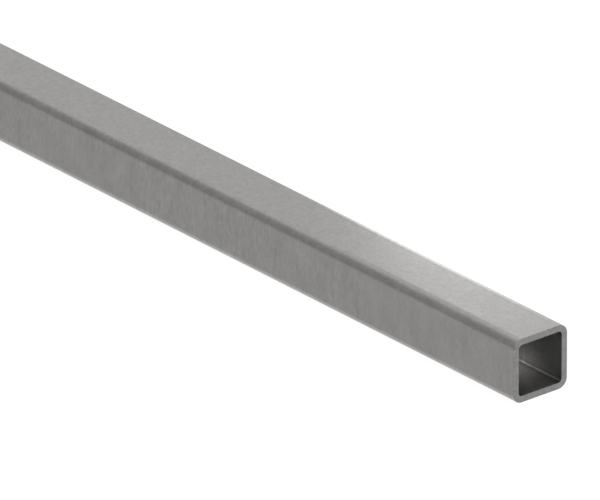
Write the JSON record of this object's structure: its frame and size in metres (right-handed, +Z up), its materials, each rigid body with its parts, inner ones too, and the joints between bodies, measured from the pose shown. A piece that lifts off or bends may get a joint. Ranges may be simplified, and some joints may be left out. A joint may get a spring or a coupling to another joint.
{
  "type": "square metal tube",
  "caption": "Straight length of square steel tube with rounded corners, an even wall all round and sawn, deburred open ends, for frames, brackets and supports.",
  "frame": {"origin": "midway along the tube, at the middle of the flat that it lies on", "axes": "+X along the tube, +Z up from the flat that it lies on, +Y across the tube"},
  "size_m": [1, 0.03, 0.03],
  "materials": {
    "steel": "bare steel, fine brushed grain across the tube, satin, unpainted"
  },
  "bodies": {
    "root": {"square_tube": "steel"}
  },
  "joints": []
}
